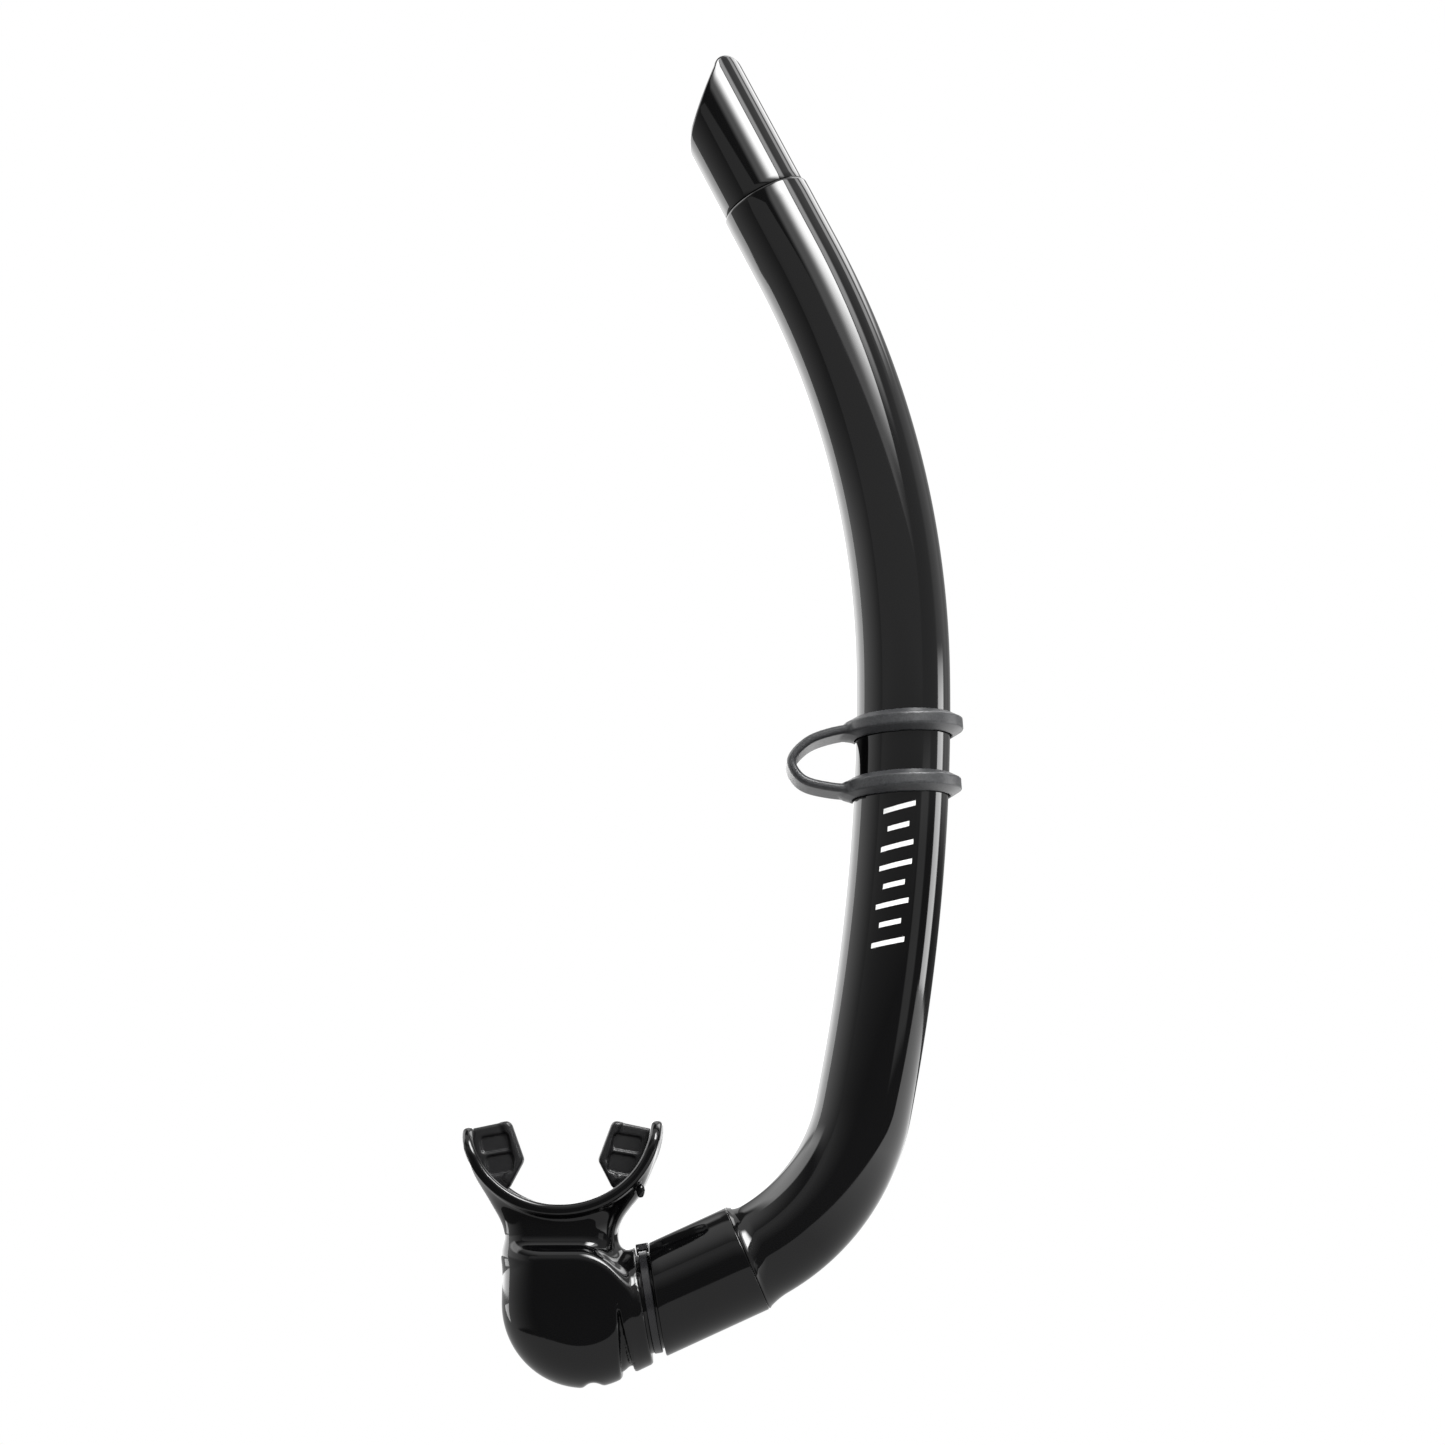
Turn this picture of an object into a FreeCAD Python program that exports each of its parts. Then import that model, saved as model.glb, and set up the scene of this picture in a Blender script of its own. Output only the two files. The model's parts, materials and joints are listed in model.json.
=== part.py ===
"""J-type snorkel: barrel, plugged-in splash tip, swivelling mouthpiece, clamp tie and strap keeper.

Millimetres. The J lies in the XZ plane: +Z is the way the bite tabs open and the barrel rises, and
+X runs from the mouthpiece to the barrel. The origin is the middle of the mouth opening.
Headings are angles above +X in that plane.
"""
import FreeCAD, Part
import math
import os

V = FreeCAD.Vector
SIDE = V(0, 1, 0)

# Barrel: a soft tube along one chain of tangent arcs, from the mouthpiece sleeve up to the tip.
BARREL_R = 15.1
BARREL_BORE_R = 12.6
SEAM = V(57.5, 0, -16.5)          # centre of the joint between the sleeve and the barrel
SLEEVE_HEADING = 24.2
LOWER_BEND = (63.5, 54.1)         # radius, turn in degrees
MIDDLE_BEND = (686.0, 11.7)
UPPER_BEND = (308.4, 26.8)
TOP_RUN = 23.7
TOP_EDGE_ROUND = 1.2
COLLAR_R = 16.8                   # stop collar at the seam, which narrows into the barrel
COLLAR_TURN = 5.4                 # degrees of the lower bend that the collar takes up
COLLAR_SECTIONS = 4
SPIGOT_R = 12.6
SPIGOT_BORE_R = 10.9
SPIGOT_LENGTH = 42.0

# Splash tip
TIP_R = 14.3
TIP_BORE_R = 11.2
TIP_STUB_R = BARREL_BORE_R - 0.05
TIP_STUB_LENGTH = 12.0
TIP_LENGTH = 50.0

# Mouthpiece
SLEEVE_R = 16.9
SLEEVE_LENGTH = 46.0
SLEEVE_BORE_R = SPIGOT_R + 0.1
SLEEVE_END_GAP = 0.3
BULB_LEFT = -17.7
BULB_TOP = -13.5
BULB_BOTTOM = -55.4
BULB_HALF_DEPTH = 17.8
BULB_WALL = 3.0
SHIELD_CENTRE = V(0.6, 0, 24.0)   # centre of the lip shield's elliptical arch
SHIELD_OUTER = (30.3, 27.6)       # half width and depth of the arch
SHIELD_THICKNESS = 2.6
SHIELD_HALF_HEIGHT = 15.5
SHIELD_TOP = 23.5
SHIELD_CORNER_R = 9.0
SHIELD_LEAN = 2.0                 # the arch sits turned by this much on its neck
MOUTH_HALF = (11.5, 6.5)
FLEX_DEPTH = 1.6                  # depth of the flex groove into the bulb's wall
TAB_HALF_THICKNESS = 1.6
TAB_LIP_HALF_HEIGHT = 4.5

# Ring groove and clamp tie
GROOVE_AT = 32.4                  # distance from the seam along the sleeve
GROOVE_HEADING = 9.7
GROOVE_WIDTH = 4.3
GROOVE_FLOOR_R = 14.4
TIE_WIDTH = 2.6
TIE_THICKNESS = 1.15
TIE_GAP = 0.05
TIE_HEAD = (4.0, 5.5, 3.7)        # along the axis, around it, and outwards
TIE_HEAD_TURN = 22.0              # the head sits this far behind the top of the ring

# Strap keeper
KEEPER_GAP = 0.4
KEEPER_RING_R = 19.2
KEEPER_RING_HALF_HEIGHT = 3.6
KEEPER_RING_FACE = 1.7            # half height of the ring's outer face, between its chamfers
KEEPER_RING_Z = (149.6, 130.2)
KEEPER_RING_TILT = 3.2
LOOP_HALF_WIDTH = 8.5
LOOP_THICKNESS = 2.8


def ahead(heading):
    """Unit vector along a heading."""
    return V(math.cos(math.radians(heading)), 0, math.sin(math.radians(heading)))


def aimed(shape, origin, heading):
    """Move a shape built along its own +Z to an origin, pointing along a heading."""
    shape.Placement = FreeCAD.Placement(origin, FreeCAD.Rotation(SIDE, 90 - heading))
    return shape


def disc(centre, heading, radius):
    return Part.Face(Part.Wire(Part.makeCircle(radius, centre, ahead(heading))))


def bend(start, heading, radius, turn):
    """End point and heading of an arc that turns upwards from a start."""
    centre = start + ahead(heading + 90) * radius
    return centre + ahead(heading + turn - 90) * radius, heading + turn


def bent_rod(start, heading, arc, rod_radius):
    radius, turn = arc
    centre = start + ahead(heading + 90) * radius
    return disc(start, heading, rod_radius).revolve(centre, SIDE * -1, turn)


def straight_rod(start, heading, length, rod_radius):
    return Part.makeCylinder(rod_radius, length, start, ahead(heading))


def joined(shapes):
    """One solid from overlapping or touching shapes."""
    whole = shapes[0].fuse(shapes[1:])
    return whole.removeSplitter()


def prism(wire, vector):
    return Part.Face(wire).extrude(vector)


def rounded_wire(corners, place):
    """Closed outline through (u, v, radius) corners, each rounded; place(u, v) gives the 3-D point."""
    count = len(corners)
    edges = []
    last = None
    first = None
    for i, (u, v, radius) in enumerate(corners):
        here = V(u, v, 0)
        before = V(corners[i - 1][0], corners[i - 1][1], 0) - here
        after = V(corners[(i + 1) % count][0], corners[(i + 1) % count][1], 0) - here
        before.normalize()
        after.normalize()
        half = before.getAngle(after) / 2
        reach = radius / math.tan(half)
        middle = before + after
        middle.normalize()
        start = here + before * reach
        end = here + after * reach
        bulge = here + middle * (radius / math.sin(half) - radius)
        arc = [place(p.x, p.y) for p in (start, bulge, end)]
        if last is not None:
            edges.append(Part.LineSegment(last, arc[0]).toShape())
        edges.append(Part.Arc(*arc).toShape())
        first = first or arc[0]
        last = arc[2]
    edges.append(Part.LineSegment(last, first).toShape())
    return Part.Wire(edges)


def rounded_rectangle(low, high, radius, place):
    corners = [(low[0], low[1], radius), (high[0], low[1], radius),
               (high[0], high[1], radius), (low[0], high[1], radius)]
    return rounded_wire(corners, place)


def polygon(points):
    """Closed straight-sided outline through (x, z) points in the plane of the J."""
    corners = [V(x, 0, z) for x, z in points]
    return Part.makePolygon(corners + corners[:1])


def barrel_course(rod_radius):
    """The barrel's arcs beyond the collar, and its straight top, as one rod."""
    start, heading = bend(SEAM, SLEEVE_HEADING, LOWER_BEND[0], COLLAR_TURN)
    arcs = [(LOWER_BEND[0], LOWER_BEND[1] - COLLAR_TURN), MIDDLE_BEND, UPPER_BEND]
    rods = []
    for arc in arcs:
        rods.append(bent_rod(start, heading, arc, rod_radius))
        start, heading = bend(start, heading, *arc)
    top = straight_rod(start, heading, TOP_RUN, rod_radius)
    end = start + ahead(heading) * TOP_RUN
    return rods, top, end, heading


def tube():
    rods, top, _, _ = barrel_course(BARREL_R)
    rim = max(top.Edges, key=lambda edge: edge.CenterOfMass.z)
    top = top.makeFillet(TOP_EDGE_ROUND, [rim])
    steps = COLLAR_SECTIONS
    rings = []
    for i in range(steps):
        share = i / (steps - 1)
        centre, heading = bend(SEAM, SLEEVE_HEADING, LOWER_BEND[0], COLLAR_TURN * share)
        radius = BARREL_R + (COLLAR_R - BARREL_R) * (1 - share) ** 2
        rings.append(Part.Wire(Part.makeCircle(radius, centre, ahead(heading))))
    collar = Part.makeLoft(rings, True)
    back = SLEEVE_HEADING + 180
    spigot = straight_rod(SEAM, back, SPIGOT_LENGTH, SPIGOT_R)
    bores, top_bore, _, _ = barrel_course(BARREL_BORE_R)
    narrow = bent_rod(SEAM, SLEEVE_HEADING, (LOWER_BEND[0], COLLAR_TURN), SPIGOT_BORE_R)
    spigot_bore = straight_rod(SEAM, back, SPIGOT_LENGTH, SPIGOT_BORE_R)
    outside = joined([spigot, collar] + rods + [top])
    return outside.cut(joined([spigot_bore, narrow] + bores + [top_bore]))


def splash_tip():
    """Built upright on its own axis: x runs across towards the long side, z up from the seam."""
    _, _, end, heading = barrel_course(BARREL_R)
    outside = Part.makeCylinder(TIP_R, TIP_LENGTH)
    stub = Part.makeCylinder(TIP_STUB_R, TIP_STUB_LENGTH, V(0, 0, -TIP_STUB_LENGTH))
    bore = Part.makeCylinder(TIP_BORE_R, TIP_LENGTH + TIP_STUB_LENGTH, V(0, 0, -TIP_STUB_LENGTH))
    clear = 2 * TIP_R
    low = V(-15.0, -clear, 25.0)
    slant_low = V(-10.4, -clear, 32.2)
    slant_high = V(4.0, -clear, 45.3)
    high = V(14.8, -clear, 45.4)
    above = TIP_LENGTH + clear
    slant = Part.Wire([
        Part.Arc(low, V(-13.2, -clear, 29.2), slant_low).toShape(),
        Part.LineSegment(slant_low, slant_high).toShape(),
        Part.Arc(slant_high, V(9.6, -clear, 48.3), high).toShape(),
        Part.LineSegment(high, V(clear, -clear, above)).toShape(),
        Part.LineSegment(V(clear, -clear, above), V(-clear, -clear, above)).toShape(),
        Part.LineSegment(V(-clear, -clear, above), low).toShape()])
    tip = outside.fuse(stub).cut([bore, prism(slant, SIDE * (2 * clear))])
    return aimed(tip, end, heading)


def sleeve_point(distance):
    """Point on the sleeve's axis at a distance from the seam, towards the bulb."""
    return SEAM - ahead(SLEEVE_HEADING) * distance


def bulb(inset):
    """Rounded hollow under the neck: the space that its front, side and top outlines share."""
    front = rounded_wire([(BULB_LEFT, BULB_TOP, 4), (BULB_LEFT, -40, 18), (-2, BULB_BOTTOM, 18),
                          (12, BULB_BOTTOM, 12), (27, -48.6, 3), (21.5, BULB_TOP - 1, 4)],
                         lambda u, v: V(u, 0, v))
    depth = BULB_HALF_DEPTH - inset
    face = Part.Face(front)
    if inset:
        face = face.makeOffset2D(-inset)
    face.translate(SIDE * -depth)
    block = face.extrude(SIDE * (2 * depth))
    side = rounded_wire([(-depth, BULB_TOP - inset, 6), (depth, BULB_TOP - inset, 6),
                         (depth, BULB_BOTTOM + inset, 14), (-depth, BULB_BOTTOM + inset, 14)],
                        lambda u, v: V(-40, u, v))
    plan = rounded_wire([(BULB_LEFT + inset, -depth, 12), (40, -depth, 3),
                         (40, depth, 3), (BULB_LEFT + inset, depth, 12)],
                        lambda u, v: V(u, v, -70))
    return block.common(prism(side, V(90, 0, 0))).common(prism(plan, V(0, 0, 80)))


def arch(inset):
    """Elliptical block inside the lip shield's outer face."""
    half_width, depth = SHIELD_OUTER
    ellipse = Part.Ellipse(V(0, 0, 0), half_width - inset, depth - inset).toShape()
    ellipse.rotate(V(0, 0, 0), V(1, 0, 0), 90)
    ellipse.translate(SHIELD_CENTRE - SIDE * 30)
    return prism(Part.Wire(ellipse), SIDE * 60)


def shield():
    side = rounded_wire([(-SHIELD_HALF_HEIGHT, -12, 2), (SHIELD_HALF_HEIGHT, -12, 2),
                         (SHIELD_HALF_HEIGHT, SHIELD_TOP, SHIELD_CORNER_R),
                         (-SHIELD_HALF_HEIGHT, SHIELD_TOP, SHIELD_CORNER_R)],
                        lambda u, v: V(-40, u, v))
    sides = prism(side, V(80, 0, 0))
    return arch(0).cut(arch(SHIELD_THICKNESS)).common(sides)


def bite_tab(hand):
    """Bite plate in one arm of the arch, with a lip along its inner edge; hand is -1 or +1."""
    plate = [(29.5, 22.3), (16.0, 25.0), (11.7, 13.2), (15.8, 5.5), (17.5, 2.0), (29.5, 8.0)]
    lip = [(16.0, 25.0), (11.7, 13.2), (15.8, 5.5), (18.0, 7.4), (14.5, 13.4), (18.8, 24.4)]
    solids = []
    for points, half in ((plate, TAB_HALF_THICKNESS), (lip, TAB_LIP_HALF_HEIGHT)):
        outline = polygon([(hand * x, z) for x, z in points])
        outline.translate(SIDE * -half)
        solids.append(prism(outline, SIDE * (2 * half)))
    return solids[0].fuse(solids[1]).common(arch(SHIELD_THICKNESS / 2))


def neck():
    """Oval neck that flares out into the lip shield."""
    sections = [(-22.0, 17.5, 12.0), (-9.0, 17.4, 12.0), (-3.0, 19.2, 12.4),
                (2.5, 22.8, 13.2), (9.0, 26.6, 14.2), (13.0, 27.8, 14.6)]
    wires = []
    for height, half_width, half_depth in sections:
        wires.append(rounded_rectangle((-half_width, -half_depth), (half_width, half_depth), 8,
                                       lambda u, v, height=height: V(u, v, height)))
    return Part.makeLoft(wires, True).cut(arch(SHIELD_THICKNESS / 2))


def groove_cut():
    """Ring groove for the tie, square to its own axis, which is not quite the sleeve's."""
    outer = Part.makeCylinder(2 * SLEEVE_R, GROOVE_WIDTH, V(0, 0, -GROOVE_WIDTH / 2))
    core = Part.makeCylinder(GROOVE_FLOOR_R, GROOVE_WIDTH, V(0, 0, -GROOVE_WIDTH / 2))
    return aimed(outer.cut(core), sleeve_point(GROOVE_AT), GROOVE_HEADING)


def flex_cuts():
    """Wedge-shaped flex groove beside the bulb and a shallow one under it."""
    outline = polygon([(18.6, -31.0), (19.6, -60.0), (25.2, -60.0)])
    outline.translate(SIDE * -30)
    wedge = prism(outline, SIDE * 60)
    floor = straight_rod(sleeve_point(SLEEVE_LENGTH + 20), SLEEVE_HEADING, SLEEVE_LENGTH, 15.0)
    dent = Part.makeCylinder(3.0, 60, V(11.3, -30, -57.2), SIDE)
    return [wedge.cut([floor, bulb(FLEX_DEPTH)]), dent]


def mouthpiece():
    sleeve_start = sleeve_point(SLEEVE_LENGTH)
    sleeve = straight_rod(sleeve_start, SLEEVE_HEADING, SLEEVE_LENGTH - SLEEVE_END_GAP, SLEEVE_R)
    sleeve_bore = straight_rod(sleeve_start, SLEEVE_HEADING, SLEEVE_LENGTH, SLEEVE_BORE_R)
    top = shield().fuse([bite_tab(-1), bite_tab(1), neck()])
    mouth = rounded_rectangle((-MOUTH_HALF[0], -MOUTH_HALF[1]), MOUTH_HALF, MOUTH_HALF[1] - 0.5,
                              lambda u, v: V(u, v, -26))
    for shape in (top, mouth):
        shape.rotate(V(0, 0, 0), SIDE * -1, SHIELD_LEAN)
    outside = joined([top, bulb(0), sleeve])
    hollows = [bulb(BULB_WALL), sleeve_bore, prism(mouth, V(0, 0, 40)), groove_cut()]
    return outside.cut(hollows + flex_cuts()).removeSplitter()


def clamp_tie():
    """Strap ring with its square head, built about its own z axis."""
    inner = GROOVE_FLOOR_R + TIE_GAP
    low = V(0, 0, -TIE_WIDTH / 2)
    strap = Part.makeCylinder(inner + TIE_THICKNESS, TIE_WIDTH, low)
    length, around, tall = TIE_HEAD
    head = Part.makeBox(tall, around, length, V(inner, -around / 2, -length / 2))
    head = head.makeChamfer(0.5, head.Edges)
    head.rotate(V(0, 0, 0), V(0, 0, 1), 180 - TIE_HEAD_TURN)
    hole = Part.makeCylinder(inner, 2 * length, V(0, 0, -length))
    return aimed(strap.fuse(head).cut(hole), sleeve_point(GROOVE_AT), GROOVE_HEADING)


def keeper_ring(height):
    """Chamfered ring round the barrel's middle bend at a height."""
    radius = MIDDLE_BEND[0]
    bend_start, heading = bend(SEAM, SLEEVE_HEADING, *LOWER_BEND)
    centre = bend_start + ahead(heading + 90) * radius
    rise = math.asin((height - centre.z) / radius)
    place = centre + V(math.cos(rise), 0, math.sin(rise)) * radius
    bore = BARREL_R + KEEPER_GAP / 2
    shoulder = KEEPER_RING_R - 2.0
    tall, face = KEEPER_RING_HALF_HEIGHT, KEEPER_RING_FACE
    outline = [(bore, -tall), (shoulder, -tall), (KEEPER_RING_R, -face), (KEEPER_RING_R, face),
               (shoulder, tall), (bore, tall)]
    ring = Part.Face(polygon(outline)).revolve(V(0, 0, 0), V(0, 0, 1), 360)
    return aimed(ring, place, 90 + KEEPER_RING_TILT)


def strap_loop():
    """Loop for the mask strap: a flat band from one ring round to the other."""
    top, tip, bottom = V(84.0, 0, 148.4), V(70.4, 0, 138.0), V(84.0, 0, 128.1)
    ends = V(98.0, 0, 150.8), V(98.0, 0, 127.1)
    inward = LOOP_THICKNESS
    outer = [ends[0], top, V(75.4, 0, 144.7), tip, V(74.4, 0, 131.0), bottom, ends[1]]
    inner = [ends[0] - V(0, 0, inward), top - V(0, 0, inward), V(77.0, 0, 142.4),
             tip + V(inward, 0, 0), V(76.0, 0, 133.2), bottom + V(0, 0, inward),
             ends[1] + V(0, 0, inward)]
    curves = []
    for points in (outer, inner):
        curve = Part.BSplineCurve()
        curve.interpolate(points)
        curves.append(curve.toShape())
    caps = [Part.LineSegment(outer[i], inner[i]).toShape() for i in (0, -1)]
    band = Part.Wire(Part.__sortEdges__(curves + caps))
    band.translate(SIDE * -LOOP_HALF_WIDTH)
    return prism(band, SIDE * (2 * LOOP_HALF_WIDTH))


def strap_keeper():
    rings = [keeper_ring(height) for height in KEEPER_RING_Z]
    rods, _, _, _ = barrel_course(BARREL_R + KEEPER_GAP)
    return strap_loop().fuse(rings).cut(rods).removeSplitter()


PIECES = {"tube": tube, "splash_tip": splash_tip, "mouthpiece": mouthpiece, "clamp_tie": clamp_tie,
          "strap_keeper": strap_keeper}

os.makedirs("parts", exist_ok=True)
for name, make in PIECES.items():
    shape = make()
    print(name, "valid", shape.isValid(), "solids", len(shape.Solids),
          "volume", round(shape.Volume), "box", shape.BoundBox)
    shape.exportStep(f"parts/{name}.step")
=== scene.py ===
"""Looks of a J-type snorkel: glossy barrel and tip, moulded mouthpiece, clamp tie and strap keeper.

Lengths are worked out in millimetres and become metres when a mesh is made. The J lies in the XZ
plane, with the origin at the middle of the mouth opening. Headings are angles above +X in that plane.
"""
import json
import math

import bmesh
import bpy
import numpy as np
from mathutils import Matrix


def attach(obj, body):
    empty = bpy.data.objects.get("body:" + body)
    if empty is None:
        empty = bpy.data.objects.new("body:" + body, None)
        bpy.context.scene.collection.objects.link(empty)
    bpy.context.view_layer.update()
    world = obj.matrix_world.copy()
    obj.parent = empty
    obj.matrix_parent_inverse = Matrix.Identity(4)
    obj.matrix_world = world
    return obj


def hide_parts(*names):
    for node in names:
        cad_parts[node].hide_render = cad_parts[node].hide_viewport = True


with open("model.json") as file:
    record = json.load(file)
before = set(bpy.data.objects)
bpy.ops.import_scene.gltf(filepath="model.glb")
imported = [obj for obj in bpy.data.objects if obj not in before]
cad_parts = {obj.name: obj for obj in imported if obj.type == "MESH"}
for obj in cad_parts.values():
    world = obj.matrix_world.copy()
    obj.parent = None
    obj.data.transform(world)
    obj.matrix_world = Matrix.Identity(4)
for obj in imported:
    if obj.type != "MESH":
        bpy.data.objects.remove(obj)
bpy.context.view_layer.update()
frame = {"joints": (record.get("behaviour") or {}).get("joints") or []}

MM = 0.001
JOINTS = {joint["name"]: joint for joint in frame["joints"]}

# Barrel
SWIVEL = JOINTS["barrel_swivel"]
SEAM = np.array(SWIVEL["pos_m"]) / MM
SLEEVE_HEADING = math.degrees(math.atan2(SWIVEL["axis"][2], SWIVEL["axis"][0]))
BARREL_R = 15.1
BORE_R = 12.6
SPIGOT_BORE_R = 10.9
SPIGOT_LENGTH = 42.0
BENDS = ((63.5, 54.1), (686.0, 11.7), (308.4, 26.8))      # radius, turn
TOP_RUN = 23.7
TOP_EDGE_ROUND = 1.2
COLLAR_R = 16.8
COLLAR_TURN = 5.4
COLLAR_EDGE = 0.3
CORNER_STEP = 0.02                               # run in which a square shoulder changes radius
BARREL_SIDES = 112
LOFT_SIDES = 144

# Splash tip
TIP_R = 14.3
TIP_BORE_R = 11.2
TIP_STUB_R = 12.5
TIP_STUB_LENGTH = 12.0
TIP_LIP_ROUND = 1.1
TIP_FOOT_ROUND = 0.35
TIP_HEEL = ((-15, 25), (-13.2, 29.2), (-10.4, 32.2))          # arcs at the ends of the slant: across, height
TIP_NOSE = ((4.0, 45.3), (9.6, 48.3), (14.8, 45.4))

# Mouthpiece
SLEEVE_R = 16.9
SLEEVE_BORE_R = 12.7
SLEEVE_GAP = 0.06
SLEEVE_EDGE = 0.55
SLEEVE_SEAM_EDGE = 0.3
GROOVE_AT = 32.4
GROOVE_HEADING = 9.7
GROOVE_WIDTH = 4.3
GROOVE_FLOOR_R = 14.4
GROOVE_ROOT_R = 0.3
ARCH_CENTRE = (0.6, 24.0)
ARCH_OUTER = (30.3, 27.6)
SHIELD_THICKNESS = 2.6
SHIELD_HALF_HEIGHT = 15.5
SHIELD_TOP = 23.5
SHIELD_CORNER_R = 9.0
SHIELD_LEAN = 2.0
SHIELD_EDGE_ROUND = 0.8
RIM_BEAD_R = 1.75
RIM_BEAD_INSET = 1.15
MOUTH_HALF = (11.5, 6.5)
MOUTH_CORNER_R = 5.0
BULB_CENTRE = (8.0, -29.9)
BULB_R = 25.5
BULB_HALF_DEPTH = 17.8
BULB_ROUNDING = 14.2
BULB_DOME = (3.0, -32.0, 0.0006)                # middle x and z, and fall per square millimetre
BULB_SIDE_BOW = 0.0015
BULB_WALL = 3.2
LEDGE_Z = -14.2
SHOULDER_POINT = (14.2, -15.6)                  # on the 45-degree shoulder
BULB_RIGHT_X = 26.0
BAND_R = 17.3
BAND_TAPER = 0.012
BAND_LENGTH = 48.0
NECK_FOOT = -24.0
NECK_CORNER_R = 9.5
FLEX_WEDGE = ((18.5, -30.5), (19.8, -60.0), (25.6, -60.0))
FLEX_WEDGE_DEPTH = 1.7
DENT_CENTRE = (10.9, -57.0)
DENT_R = 3.3
NUB_CENTRE = (25.0, -11.0, 3.6)
NUB_R = 1.3
NUB_STRETCH = 1.7
BORE_START_X = 4.0

# Clamp tie
TIE_WIDTH = 2.6
TIE_THICKNESS = 1.15
TIE_INSIDE_R = GROOVE_FLOOR_R + 0.05
TIE_HEAD = (4.0, 5.5, 3.7)
TIE_HEAD_TURN = 22.0
TIE_EDGE = 0.25
TIE_SIDES = 160
TIE_SLOT = (1.9, 1.35, 0.7)                     # height above the band's inside, half width, half height
TIE_TAIL = (1.2, 0.55, 0.9)                     # half width, half height, how far it sticks out

# Strap keeper
KEEPER_INSIDE_R = BARREL_R + 0.4
KEEPER_RING_R = 19.2
KEEPER_RING_HALF = 3.6
KEEPER_RING_FACE = 1.7
KEEPER_RING_Z = (149.6, 130.2)
KEEPER_RING_TILT = 3.2
LOOP_HALF_WIDTH = 8.5
LOOP_THICKNESS = 2.8
LOOP_EDGE_ROUND = 1.1
LOOP_OUTER = ((98, 150.8), (84, 148.4), (75.4, 144.7), (70.4, 138.0), (74.4, 131.0), (84, 128.1), (98, 127.1))


# ---------------------------------------------------------------- plane geometry

def ahead(heading):
    """Unit vector (x, z) along a heading."""
    return np.array([math.cos(math.radians(heading)), math.sin(math.radians(heading))])


def arc_centre(start, heading, radius):
    return start + ahead(heading + 90) * radius


def along_arc(start, heading, radius, turn):
    """Point and heading at the end of an arc that turns upwards."""
    centre = arc_centre(start, heading, radius)
    return centre + ahead(heading + turn - 90) * radius, heading + turn


def course_points(steps):
    """Barrel centreline from the seam to its top: rows of x, z, heading, distance."""
    here, heading, run = np.array([SEAM[0], SEAM[2]]), SLEEVE_HEADING, 0.0
    rows = [(*here, heading, run)]
    for (radius, turn), count in zip(BENDS, steps):
        for i in range(1, count + 1):
            point, now = along_arc(here, heading, radius, turn * i / count)
            rows.append((*point, now, run + math.radians(turn * i / count) * radius))
        here, heading = point, now
        run += math.radians(turn) * radius
    end = here + ahead(heading) * TOP_RUN
    rows.append((*end, heading, run + TOP_RUN))
    return np.array(rows)


COURSE = course_points((60, 70, 90))
TOP_POINT = COURSE[-1, :2]
TOP_HEADING = COURSE[-1, 2]
COURSE_LENGTH = COURSE[-1, 3]
COLLAR_RUN = math.radians(COLLAR_TURN) * BENDS[0][0]


def course_at(distance):
    """Centreline point (x, z) and heading at a distance past the seam; negative is in the sleeve."""
    if distance <= 0:
        return COURSE[0, :2] + ahead(SLEEVE_HEADING) * distance, SLEEVE_HEADING
    if distance >= COURSE_LENGTH - TOP_RUN:
        return TOP_POINT + ahead(TOP_HEADING) * (distance - COURSE_LENGTH), TOP_HEADING
    start, heading, left = COURSE[0, :2], SLEEVE_HEADING, distance
    for radius, turn in BENDS:
        length = math.radians(turn) * radius
        if left <= length:
            return along_arc(start, heading, radius, math.degrees(left / radius))
        start, heading = along_arc(start, heading, radius, turn)
        left -= length
    return start + ahead(heading) * left, heading


def smooth_step(value, low, high):
    share = np.clip((value - low) / (high - low), 0, 1)
    return share * share * (3 - 2 * share)


# ---------------------------------------------------------------- meshes

def finished(name, points, faces, material):
    """Smooth mesh object at the origin from millimetre points."""
    mesh = bpy.data.meshes.new(name)
    mesh.from_pydata((np.asarray(points) * MM).tolist(), [], [list(map(int, face)) for face in faces])
    mesh.validate()
    mesh.materials.append(material)
    piece = bpy.data.objects.new(name, mesh)
    bpy.context.scene.collection.objects.link(piece)
    shade(piece)
    return piece


def shade(piece, smooth_angle=None):
    """Smooth shading all over, or with the edges sharper than an angle kept."""
    piece.data.polygons.foreach_set("use_smooth", [True] * len(piece.data.polygons))
    if smooth_angle is not None:
        with bpy.context.temp_override(object=piece, selected_objects=[piece],
                                       selected_editable_objects=[piece], active_object=piece):
            bpy.ops.object.shade_smooth_by_angle(angle=math.radians(smooth_angle))


def weld(piece, distance=0.005):
    """Merge doubles and turn every face outwards."""
    work = bmesh.new()
    work.from_mesh(piece.data)
    bmesh.ops.remove_doubles(work, verts=work.verts, dist=distance * MM)
    bmesh.ops.recalc_face_normals(work, faces=work.faces)
    work.to_mesh(piece.data)
    work.free()


def join(pieces, name):
    """One object from several that share a material."""
    with bpy.context.temp_override(object=pieces[0], active_object=pieces[0], selected_objects=pieces,
                                   selected_editable_objects=pieces):
        bpy.ops.object.join()
    pieces[0].name = pieces[0].data.name = name
    return pieces[0]


def rings_mesh(rings):
    """Points and quads for closed rings that follow each other round a closed section."""
    rings = np.asarray(rings)
    rows, cols = rings.shape[:2]
    index = np.arange(rows * cols).reshape(rows, cols)
    below = np.roll(index, -1, axis=0)
    faces = np.stack([index, np.roll(index, -1, 1), np.roll(below, -1, 1), below], -1).reshape(-1, 4)
    return rings.reshape(-1, 3), faces


def full_turn(sides):
    return np.linspace(0, 2 * math.pi, sides, endpoint=False)


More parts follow.
